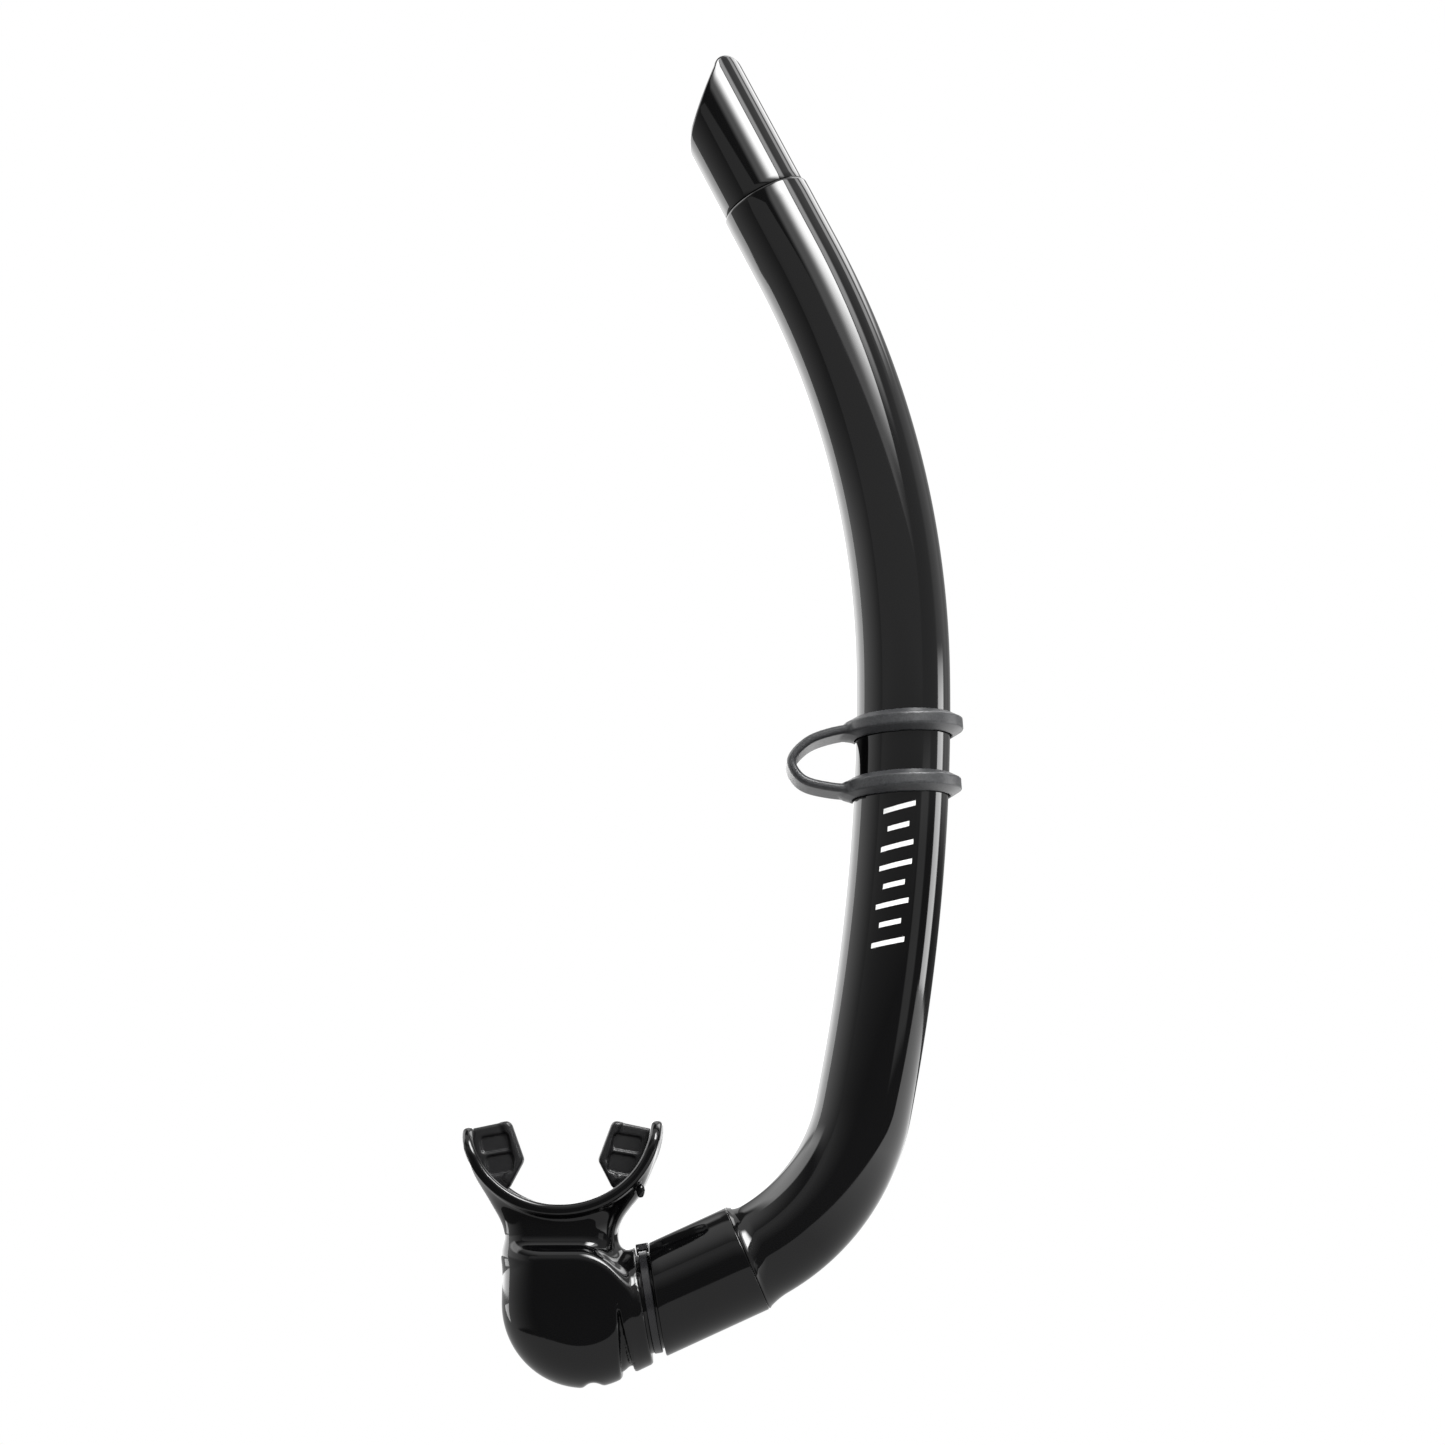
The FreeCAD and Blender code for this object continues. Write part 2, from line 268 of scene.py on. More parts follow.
def placed(local, origin, heading):
    """Local (across, side, along) points moved so that 'along' follows a heading from an origin."""
    across, side, along = np.moveaxis(np.asarray(local), -1, 0)
    forward, left = ahead(heading), ahead(heading - 90)
    x = origin[0] + left[0] * across + forward[0] * along
    z = origin[1] + left[1] * across + forward[1] * along
    return np.stack([x, side, z], -1)


# ---------------------------------------------------------------- soft moulded forms

def blend_in(a, b, fillet):
    """Union of two distance fields with a fillet of about that size."""
    h = np.clip(0.5 + 0.5 * (b - a) / fillet, 0, 1)
    return b + (a - b) * h - fillet * h * (1 - h)


def blend_out(a, b, fillet):
    """Intersection of two distance fields with a rounded edge."""
    return -blend_in(-a, -b, fillet)


def rounded_box(u, v, half_u, half_v, corner):
    """Distance to a rectangle with rounded corners."""
    du = np.abs(u) - half_u + corner
    dv = np.abs(v) - half_v + corner
    return np.minimum(np.maximum(du, dv), 0) + np.hypot(np.maximum(du, 0), np.maximum(dv, 0)) - corner


def thick_outline(flat, side, half, rounding):
    """Outline distance pulled out to a thickness, with rounded edges."""
    a, b = flat + rounding, np.abs(side) - half + rounding
    return np.minimum(np.maximum(a, b), 0) + np.hypot(np.maximum(a, 0), np.maximum(b, 0)) - rounding


def polygon_distance(u, v, corners):
    """Signed distance to a closed polygon."""
    best = np.full(u.shape, np.inf)
    inside = np.zeros(u.shape, bool)
    for (x0, y0), (x1, y1) in zip(corners, corners[1:] + corners[:1]):
        ex, ey = x1 - x0, y1 - y0
        wx, wy = u - x0, v - y0
        t = np.clip((wx * ex + wy * ey) / (ex * ex + ey * ey), 0, 1)
        best = np.minimum(best, (wx - ex * t) ** 2 + (wy - ey * t) ** 2)
        crosses = (v >= y0) != (v >= y1)
        with np.errstate(divide="ignore", invalid="ignore"):
            inside ^= crosses & (u < x0 + (v - y0) * ex / (ey if ey else 1e-12))
    return np.where(inside, -1, 1) * np.sqrt(best)


def line_distance(u, v, points):
    """Distance to an open line through points."""
    best = np.full(u.shape, np.inf)
    for (x0, y0), (x1, y1) in zip(points, points[1:]):
        ex, ey = x1 - x0, y1 - y0
        t = np.clip(((u - x0) * ex + (v - y0) * ey) / (ex * ex + ey * ey), 0, 1)
        best = np.minimum(best, (u - x0 - ex * t) ** 2 + (v - y0 - ey * t) ** 2)
    return np.sqrt(best)


def about_axis(x, y, z, origin, heading):
    """Distance from an axis in the plane of the J, distance along it, and height above it."""
    forward, up = ahead(heading), ahead(heading + 90)
    along = (x - origin[0]) * forward[0] + (z - origin[1]) * forward[1]
    rise = (x - origin[0]) * up[0] + (z - origin[1]) * up[1]
    return np.hypot(rise, y), along, rise


def skin(form, low, high, step):
    """Points and quads of a form's surface: a net with one point in each cell that the surface crosses,
    each then moved onto the surface itself."""
    axes = [np.arange(a, b + step, step) for a, b in zip(low, high)]
    grid = np.meshgrid(*axes, indexing="ij")
    value = form(*grid)
    inside = value < 0
    shape = tuple(n - 1 for n in value.shape)
    total, count = np.zeros(shape + (3,)), np.zeros(shape)
    corners = [(i, j, k) for i in (0, 1) for j in (0, 1) for k in (0, 1)]

    def cut(block, corner):
        return block[tuple(slice(c, c + n) for c, n in zip(corner, shape))]

    for axis in range(3):
        for corner in corners:
            if corner[axis]:
                continue
            other = tuple(c + (1 if a == axis else 0) for a, c in enumerate(corner))
            va, vb = cut(value, corner), cut(value, other)
            crossed = (va < 0) != (vb < 0)
            share = np.where(crossed, va / np.where(crossed, va - vb, 1), 0)
            for a in range(3):
                total[..., a] += crossed * (corner[a] + (share if a == axis else 0))
            count += crossed
    used = count > 0
    number = np.full(shape, -1)
    number[used] = np.arange(used.sum())
    cell = np.argwhere(used)
    points = np.array(low) + (cell + total[used] / count[used][:, None]) * step
    faces = []
    for axis in range(3):
        b, c = [a for a in range(3) if a != axis]
        first = [slice(1, -1)] * 3
        first[axis] = slice(0, -1)
        second = list(first)
        second[axis] = slice(1, None)
        start, end = inside[tuple(first)], inside[tuple(second)]
        for wanted, turned in ((start & ~end, False), (end & ~start, True)):
            at = np.argwhere(wanted)
            at[:, b] += 1
            at[:, c] += 1
            quad = []
            for db, dc in ((1, 1), (0, 1), (0, 0), (1, 0)):
                near = at.copy()
                near[:, b] -= db
                near[:, c] -= dc
                quad.append(number[tuple(near.T)])
            quad = np.stack(quad, 1)
            if turned != (axis == 1):
                quad = quad[:, ::-1]
            faces.append(quad)
    points = onto_surface(form, points, step)
    return points, np.concatenate(faces)


def slope(form, points, reach=0.04):
    result = np.empty_like(points)
    for a in range(3):
        shift = np.zeros(3)
        shift[a] = reach
        result[:, a] = (form(*(points + shift).T) - form(*(points - shift).T)) / (2 * reach)
    return result


def onto_surface(form, points, step, rounds=4):
    start = points.copy()
    for _ in range(rounds):
        g = slope(form, points)
        move = form(*points.T)[:, None] * g / np.maximum((g * g).sum(1), 1e-4)[:, None]
        points = points - np.clip(move, -step / 2, step / 2)
        points = start + np.clip(points - start, -step, step)
    return points


# ---------------------------------------------------------------- swept tubes

def swept_tube_tree():
    """Tube along a line of points. Each point's 'reach' is the tube's radius there."""
    tree = bpy.data.node_groups.new("swept_tube", "GeometryNodeTree")
    face = tree.interface
    face.new_socket("Course", in_out="INPUT", socket_type="NodeSocketGeometry")
    sides = face.new_socket("Sides", in_out="INPUT", socket_type="NodeSocketInt")
    finish = face.new_socket("Finish", in_out="INPUT", socket_type="NodeSocketMaterial")
    face.new_socket("Tube", in_out="OUTPUT", socket_type="NodeSocketGeometry")
    make, wire = tree.nodes.new, tree.links.new
    given, result = make("NodeGroupInput"), make("NodeGroupOutput")
    line = make("GeometryNodeMeshToCurve")
    reach = make("GeometryNodeInputNamedAttribute")
    reach.data_type = "FLOAT"
    reach.inputs["Name"].default_value = "reach"
    ring = make("GeometryNodeCurvePrimitiveCircle")
    ring.inputs["Radius"].default_value = 1.0
    sweep = make("GeometryNodeCurveToMesh")
    soft = make("GeometryNodeSetShadeSmooth")
    real = make("GeometryNodeRealizeInstances")
    paint = make("GeometryNodeSetMaterial")
    wire(given.outputs["Course"], line.inputs["Mesh"])
    wire(given.outputs["Sides"], ring.inputs["Resolution"])
    wire(line.outputs["Curve"], sweep.inputs["Curve"])
    wire(ring.outputs["Curve"], sweep.inputs["Profile Curve"])
    wire(reach.outputs["Attribute"], sweep.inputs["Scale"])
    wire(sweep.outputs["Mesh"], soft.inputs["Geometry"])
    wire(soft.outputs["Geometry"], real.inputs["Geometry"])
    wire(real.outputs["Geometry"], paint.inputs["Geometry"])
    wire(given.outputs["Finish"], paint.inputs["Material"])
    wire(paint.outputs["Geometry"], result.inputs["Tube"])
    return tree, sides.identifier, finish.identifier


SWEPT_TUBE, SIDES_INPUT, FINISH_INPUT = swept_tube_tree()


def swept(name, stations, sides, material):
    """Plain mesh of a tube through stations of (distance along the barrel, radius)."""
    line = bpy.data.meshes.new(name)
    points = []
    for distance, _ in stations:
        (x, z), _ = course_at(distance)
        points.append((x * MM, 0, z * MM))
    line.from_pydata(points, [(i, i + 1) for i in range(len(points) - 1)], [])
    reach = line.attributes.new("reach", "FLOAT", "POINT")
    reach.data.foreach_set("value", [radius * MM for _, radius in stations])
    piece = bpy.data.objects.new(name, line)
    bpy.context.scene.collection.objects.link(piece)
    modifier = piece.modifiers.new("tube", "NODES")
    modifier.node_group = SWEPT_TUBE
    modifier[SIDES_INPUT] = sides
    modifier[FINISH_INPUT] = material
    bpy.context.view_layer.update()
    graph = bpy.context.evaluated_depsgraph_get()
    made = bpy.data.meshes.new_from_object(piece.evaluated_get(graph))
    piece.modifiers.remove(modifier)
    piece.data = made
    if not made.materials:
        made.materials.append(material)
    return piece


# ---------------------------------------------------------------- finishes

def plain_finish(name, colour, roughness):
    """Principled material with its nodes ready to be added to."""
    material = bpy.data.materials.new(name)
    material.use_nodes = True
    shader = material.node_tree.nodes["Principled BSDF"]
    shader.inputs["Base Color"].default_value = (*colour, 1)
    shader.inputs["Roughness"].default_value = roughness
    return material, shader


def node(material, kind, **values):
    """New node with its inputs set by name, and its properties by lower-case name."""
    made = material.node_tree.nodes.new(kind)
    for key, value in values.items():
        if key in made.inputs:
            made.inputs[key].default_value = value
        else:
            setattr(made, key, value)
    return made


def noise(material, scale, detail=2.0, roughness=0.5, stretch=None):
    """Noise on object coordinates; stretch squeezes it along each axis."""
    place = node(material, "ShaderNodeTexCoord")
    source = place.outputs["Object"]
    if stretch:
        turn = node(material, "ShaderNodeMapping", Scale=stretch)
        material.node_tree.links.new(source, turn.inputs["Vector"])
        source = turn.outputs["Vector"]
    made = node(material, "ShaderNodeTexNoise", Scale=scale, Detail=detail, Roughness=roughness)
    material.node_tree.links.new(source, made.inputs["Vector"])
    return made.outputs["Fac"]


def ranged(material, source, low, high, start=0.0, end=1.0):
    made = node(material, "ShaderNodeMapRange")
    for key, value in (("From Min", start), ("From Max", end), ("To Min", low), ("To Max", high)):
        made.inputs[key].default_value = value
    material.node_tree.links.new(source, made.inputs["Value"])
    return made.outputs["Result"]


def bumped(material, shader, layers):
    """Chain of bumps, each (height, strength, distance in metres)."""
    link = material.node_tree.links.new
    last = None
    for height, strength, distance in layers:
        made = node(material, "ShaderNodeBump", Strength=strength, Distance=distance)
        link(height, made.inputs["Height"])
        if last:
            link(last, made.inputs["Normal"])
        last = made.outputs["Normal"]
    link(last, shader.inputs["Normal"])


def tinted(material, shader, source, dark, light):
    ramp = node(material, "ShaderNodeMix", data_type="RGBA")
    ramp.inputs[6].default_value = (*dark, 1)
    ramp.inputs[7].default_value = (*light, 1)
    material.node_tree.links.new(source, ramp.inputs[0])
    material.node_tree.links.new(ramp.outputs[2], shader.inputs["Base Color"])


def glossy_vinyl():
    """Polished black soft vinyl of the barrel and the tip, with a slow ripple and faint handling marks."""
    material, shader = plain_finish("glossy_black_vinyl", (0.002, 0.002, 0.002), 0.06)
    link = material.node_tree.links.new
    haze = ranged(material, noise(material, 38, 3, 0.55), 0.035, 0.08, 0.35, 0.7)
    link(haze, shader.inputs["Roughness"])
    tinted(material, shader, noise(material, 16, 2), (0.0012, 0.0012, 0.0013), (0.0026, 0.0026, 0.0028))
    ripple = noise(material, 55, 1.5, 0.4, (1.0, 1.0, 0.45))
    hair = ranged(material, noise(material, 900, 2, 0.6, (1.0, 1.0, 0.02)), 0, 1, 0.68, 0.74)
    bumped(material, shader, [(ripple, 0.10, 0.00022), (hair, 0.05, 0.00001)])
    shader.inputs["IOR"].default_value = 1.5
    return material


def polished_silicone():
    """Black silicone out of a polished mould, with a softer shine than the vinyl."""
    material, shader = plain_finish("polished_black_silicone", (0.0015, 0.0015, 0.0016), 0.08)
    link = material.node_tree.links.new
    link(ranged(material, noise(material, 60, 3, 0.6), 0.05, 0.10, 0.35, 0.7), shader.inputs["Roughness"])
    tinted(material, shader, noise(material, 40, 2), (0.0008, 0.0008, 0.0009), (0.002, 0.002, 0.0022))
    bumped(material, shader, [(noise(material, 90, 1.5, 0.4), 0.08, 0.00015)])
    shader.inputs["IOR"].default_value = 1.48
    return material


def matte_silicone():
    """The bite tabs are left matte by the mould, so that they grip."""
    material, shader = plain_finish("matte_black_silicone", (0.006, 0.006, 0.0065), 0.36)
    link = material.node_tree.links.new
    link(ranged(material, noise(material, 300, 3, 0.6), 0.3, 0.42), shader.inputs["Roughness"])
    tinted(material, shader, noise(material, 120, 3), (0.0045, 0.0045, 0.005), (0.008, 0.008, 0.0085))
    bumped(material, shader, [(noise(material, 2600, 3, 0.65), 0.12, 0.00003)])
    return material


def grained_rubber():
    """Dark grey rubber of the keeper, with a fine mould grain and a paler random mottle."""
    material, shader = plain_finish("grained_grey_rubber", (0.024, 0.0245, 0.0255), 0.45)
    link = material.node_tree.links.new
    grain = noise(material, 3200, 3, 0.7)
    tinted(material, shader, ranged(material, noise(material, 1500, 4, 0.75), 0, 1, 0.35, 0.7),
           (0.022, 0.0225, 0.024), (0.05, 0.0515, 0.054))
    link(ranged(material, grain, 0.3, 0.46), shader.inputs["Roughness"])
    bumped(material, shader, [(grain, 0.45, 0.00006), (noise(material, 420, 2), 0.12, 0.00012)])
    return material


def satin_nylon():
    """Black nylon of the tie, straight from its tool."""
    material, shader = plain_finish("satin_black_nylon", (0.008, 0.008, 0.009), 0.25)
    link = material.node_tree.links.new
    link(ranged(material, noise(material, 400, 2), 0.16, 0.32), shader.inputs["Roughness"])
    tinted(material, shader, noise(material, 200, 2), (0.006, 0.006, 0.007), (0.012, 0.012, 0.013))
    bumped(material, shader, [(noise(material, 1200, 2, 0.6), 0.15, 0.00003)])
    return material


def white_ink():
    """Pad-printed white, a little thin in places."""
    material, shader = plain_finish("white_print", (0.8, 0.8, 0.79), 0.32)
    tinted(material, shader, ranged(material, noise(material, 700, 4, 0.7), 0, 1, 0.3, 0.6),
           (0.62, 0.62, 0.615), (0.84, 0.84, 0.83))
    bumped(material, shader, [(noise(material, 1800, 2, 0.6), 0.1, 0.00002)])
    return material


VINYL = glossy_vinyl()
SILICONE = polished_silicone()
MATTE_SILICONE = matte_silicone()
RUBBER = grained_rubber()
NYLON = satin_nylon()
INK = white_ink()


# ---------------------------------------------------------------- barrel

def barrel():
    """Outer and inner walls swept along the same course, welded at both ends."""
    tiny = CORNER_STEP
    outer = [(-SPIGOT_LENGTH, SPIGOT_BORE_R), (-SPIGOT_LENGTH + tiny, BORE_R), (-tiny, BORE_R),
             (0, COLLAR_R - COLLAR_EDGE)]
    for turn in (30, 60, 90):
        a = math.radians(turn)
        outer.append((COLLAR_EDGE * (1 - math.cos(a)) + tiny,
                      COLLAR_R - COLLAR_EDGE * (1 - math.sin(a))))
    for share in np.linspace(0.15, 1, 10):
        outer.append((COLLAR_RUN * share, BARREL_R + (COLLAR_R - BARREL_R) * (1 - share) ** 2))
    top_start = COURSE_LENGTH - TOP_RUN
    outer += [(d, BARREL_R) for d in np.arange(COLLAR_RUN + 1.2, top_start, 1.6)]
    outer += [(d, BARREL_R) for d in np.linspace(top_start, COURSE_LENGTH - TOP_EDGE_ROUND, 6)]
    for turn in range(15, 91, 15):
        a = math.radians(turn)
        outer.append((COURSE_LENGTH - TOP_EDGE_ROUND * (1 - math.sin(a)),
                      BARREL_R - TOP_EDGE_ROUND * (1 - math.cos(a))))
    outer.append((COURSE_LENGTH + tiny, BORE_R))
    inner = [(-SPIGOT_LENGTH, SPIGOT_BORE_R)]
    inner += [(d, SPIGOT_BORE_R) for d in np.linspace(0, COLLAR_RUN, 5)]
    inner += [(d, BORE_R) for d in np.arange(COLLAR_RUN + tiny, COURSE_LENGTH - 1, 3.0)]
    inner.append((COURSE_LENGTH + tiny, BORE_R))
    walls = [swept("barrel_outside", outer, BARREL_SIDES, VINYL),
             swept("barrel_inside", inner, BARREL_SIDES, VINYL)]
    piece = join(walls, "barrel")
    weld(piece)
    shade(piece, 35)
    return piece


# ---------------------------------------------------------------- splash tip

def arc_through(a, b, c, count):
    """Points on the arc through three points."""
    (ax, ay), (bx, by), (cx, cy) = a, b, c
    d = 2 * (ax * (by - cy) + bx * (cy - ay) + cx * (ay - by))
    sa, sb, sc = ax * ax + ay * ay, bx * bx + by * by, cx * cx + cy * cy
    ux = (sa * (by - cy) + sb * (cy - ay) + sc * (ay - by)) / d
    uy = (sa * (cx - bx) + sb * (ax - cx) + sc * (bx - ax)) / d
    radius = math.hypot(ax - ux, ay - uy)
    start, end = math.atan2(ay - uy, ax - ux), math.atan2(cy - uy, cx - ux)
    if end > start:
        end -= 2 * math.pi
    return [(ux + radius * math.cos(t), uy + radius * math.sin(t)) for t in np.linspace(start, end, count)]


SLANT = np.array(arc_through(*TIP_HEEL, 14) + arc_through(*TIP_NOSE, 24))


def slant_height(across):
    """Height of the tip's slanted end above the seam, across its width."""
    return np.interp(across, SLANT[:, 0], SLANT[:, 1])


def splash_tip():
    turn = full_turn(LOFT_SIDES)
    wall = TIP_R - TIP_BORE_R

    def ring(radius, height):
        level = np.broadcast_to(height, turn.shape)
        return np.stack([radius * np.cos(turn), radius * np.sin(turn), level], -1)

    rings = [ring(TIP_BORE_R, -TIP_STUB_LENGTH), ring(TIP_STUB_R, -TIP_STUB_LENGTH), ring(TIP_STUB_R, 0.0)]
    for a in np.radians((0, 30, 60, 90)):
        rings.append(ring(TIP_R - TIP_FOOT_ROUND * (1 - math.sin(a)), TIP_FOOT_ROUND * (1 - math.cos(a))))
    depths = []
    for a in np.radians(np.linspace(0, 90, 8)):
        depths.append((TIP_LIP_ROUND * (1 - math.cos(a)), TIP_LIP_ROUND * (1 - math.sin(a))))
    outer_lip = slant_height(TIP_R * np.cos(turn)) - TIP_LIP_ROUND
    for share in np.linspace(0.04, 1, 26)[:-1]:
        rings.append(ring(TIP_R, TIP_FOOT_ROUND + (outer_lip - TIP_FOOT_ROUND) * share))
    for inset, drop in depths:
        radius = TIP_R - inset
        rings.append(ring(radius, slant_height(radius * np.cos(turn)) - drop))
    for inset, drop in reversed(depths):
        radius = TIP_R - wall + inset
        rings.append(ring(radius, slant_height(radius * np.cos(turn)) - drop))
    inner_lip = slant_height(TIP_BORE_R * np.cos(turn)) - TIP_LIP_ROUND
    for share in np.linspace(1, 0, 14)[1:]:
        rings.append(ring(TIP_BORE_R, -TIP_STUB_LENGTH + (inner_lip + TIP_STUB_LENGTH) * share))
    points, faces = rings_mesh([placed(r, TOP_POINT, TOP_HEADING) for r in rings[:-1]])
    piece = finished("splash_tip", points, faces, VINYL)
    weld(piece)
    shade(piece, 40)
    return piece


# ---------------------------------------------------------------- mouthpiece

GROOVE_POINT = COURSE[0, :2] - ahead(SLEEVE_HEADING) * GROOVE_AT
NECK_LEVELS = (-24, -16, -12, -8, -4.5, -1, 2.5, 6, 9, 14.5, 20)
NECK_LEFT = (-12.0, -16.2, -16.8, -17.1, -18.5, -20.7, -22.7, -24.8, -26.3, -28.0, -28.6)
NECK_RIGHT = (13.0, 17.4, 17.8, 17.7, 18.9, 21.6, 24.6, 26.0, 27.0, 28.4, 29.4)
NECK_DEPTH = (9.0, 12.0, 12.6, 12.7, 12.9, 13.2, 13.6, 14.0, 14.3, 14.6, 14.8)


def smooth_levels(values, z):
    """Values at the neck's levels, followed by a curve with no corners."""
    fine = np.linspace(NECK_LEVELS[0], NECK_LEVELS[-1], 400)
    rough = np.interp(fine, NECK_LEVELS, values)
    window = np.hanning(61)
    padded = np.pad(rough, 30, mode="edge")
    return np.interp(z, fine, np.convolve(padded, window / window.sum(), mode="valid"))


def arch_distance(x, z, offset=0.0):
    """Distance outside the shield's elliptical arch, which leans a little on its neck."""
    lean = math.radians(SHIELD_LEAN)
    dx, dz = x - ARCH_CENTRE[0], z - ARCH_CENTRE[1]
    u = dx * math.cos(lean) + dz * math.sin(lean)
    v = -dx * math.sin(lean) + dz * math.cos(lean)
    a, b = ARCH_OUTER[0] - offset, ARCH_OUTER[1] - offset
    size = np.sqrt((u / a) ** 2 + (v / b) ** 2)
    pull = np.sqrt((u / a ** 2) ** 2 + (v / b ** 2) ** 2)
    return size * (size - 1) / np.maximum(pull, 1e-6)


def shield_outline(x, y, z):
    """Distance outside the shield's edge, as seen square to its curved plate."""
    lean = math.radians(SHIELD_LEAN)
    top = SHIELD_TOP + (x - ARCH_CENTRE[0]) * math.tan(lean)
    over = z - top + SHIELD_CORNER_R
    out = np.abs(y) - SHIELD_HALF_HEIGHT + SHIELD_CORNER_R
    return (np.minimum(np.maximum(over, out), 0) + np.hypot(np.maximum(over, 0), np.maximum(out, 0))
            - SHIELD_CORNER_R)


def bulb(x, y, z, shrink=0.0):
    """Round-bottomed chamber: a fat rounded front, cut by a ledge and by a shoulder to the sleeve."""
    across, rise = x - BULB_CENTRE[0], z - BULB_CENTRE[1]
    side = np.abs(across) - BULB_R + BULB_SIDE_BOW * rise ** 2
    outline = np.where(rise > 0, side, np.hypot(across, rise) - BULB_R)
    dome_x, dome_z, fall = BULB_DOME
    half = BULB_HALF_DEPTH - fall * ((x - dome_x) ** 2 + (z - dome_z) ** 2)
    body = thick_outline(outline, y, half, BULB_ROUNDING)
    shoulder = ((x - SHOULDER_POINT[0]) + (z - SHOULDER_POINT[1])) * math.sqrt(0.5)
    cap = blend_out(z - LEDGE_Z, shoulder, 5.0)
    return blend_out(blend_out(body, cap, 3.4), x - BULB_RIGHT_X, 5.0) + shrink


def outside_form(x, y, z):
    """Whole outer shape of the moulding, solid, before its passages and small cuts."""
    left, right = smooth_levels(NECK_LEFT, z), smooth_levels(NECK_RIGHT, z)
    depth = smooth_levels(NECK_DEPTH, z)
    neck = rounded_box(x - (left + right) / 2, y, (right - left) / 2, depth, NECK_CORNER_R)
    neck = np.maximum(neck, NECK_FOOT - z)
    band_radius, along, _ = about_axis(x, y, z, COURSE[0, :2], SLEEVE_HEADING)
    band = band_radius - BAND_R + BAND_TAPER * (along + 40)
    band = blend_out(band, -BAND_LENGTH - along, 3.0)
    shoulder_fillet = 0.9 + 3.6 * smooth_step(z, -27, -18)
    body = blend_in(bulb(x, y, z), band, shoulder_fillet)
    _, past, _ = about_axis(x, y, z, GROOVE_POINT, GROOVE_HEADING)
    body = blend_out(body, past + GROOVE_WIDTH / 2, 0.9)
    body = blend_in(body, neck, 5.5)
    plate = blend_out(arch_distance(x, z), shield_outline(x, y, z), SHIELD_EDGE_ROUND)
    return blend_in(body, plate, 3.6)


def small_cuts(shape, x, z):
    """The flex wedge behind the bulb, and the dent under it."""
    wedge = polygon_distance(x, z, FLEX_WEDGE)
    shape = blend_out(shape, -np.maximum(wedge, -(shape + FLEX_WEDGE_DEPTH)), 0.9)
    dent = np.hypot(x - DENT_CENTRE[0], z - DENT_CENTRE[1]) - DENT_R
    return blend_out(shape, -dent, 1.2)


def shield_finish(shape, x, y, z):
    """Space for the teeth behind the lips, the shield's edge with its bead, and the nub on one flare."""
    shape = blend_out(shape, -arch_distance(x, z, SHIELD_THICKNESS), SHIELD_EDGE_ROUND)
    edge = shield_outline(x, y, z)
    clear_of_bulb = 6.0 * smooth_step(-z, -9, -1)
    shape = blend_out(shape, edge - clear_of_bulb, SHIELD_EDGE_ROUND)
    middle = np.abs(arch_distance(x, z, SHIELD_THICKNESS / 2))
    bead = np.hypot(middle, edge + RIM_BEAD_INSET) - RIM_BEAD_R
    shape = blend_in(shape, bead, 0.7)
    dx, dy, dz = x - NUB_CENTRE[0], y - NUB_CENTRE[1], (z - NUB_CENTRE[2]) / NUB_STRETCH
    return blend_in(shape, np.sqrt(dx ** 2 + dy ** 2 + dz ** 2) - NUB_R, 0.4)


def passages(x, y, z):
    """Mouth opening, chamber and the sleeve's bore, as one hollow."""
    mouth = np.maximum(rounded_box(x, y, *MOUTH_HALF, MOUTH_CORNER_R), -20 - z)
    chamber = bulb(x, y, z, BULB_WALL)
    bore_radius, _, _ = about_axis(x, y, z, COURSE[0, :2], SLEEVE_HEADING)
    bore = np.maximum(bore_radius - SLEEVE_BORE_R, BORE_START_X - x)
    return blend_in(blend_in(mouth, chamber, 2.0), bore, 1.0)


def mouthpiece_form(x, y, z):
    shape = small_cuts(outside_form(x, y, z), x, z)
    shape = shield_finish(shape, x, y, z)
    return blend_out(shape, -passages(x, y, z), 0.8)


def mouthpiece_body():
    points, faces = skin(mouthpiece_form, (-32, -19, -57), (37, 19, 28), 0.62)
    piece = finished("mouthpiece_body", points, faces, SILICONE)
    weld(piece)
    return piece


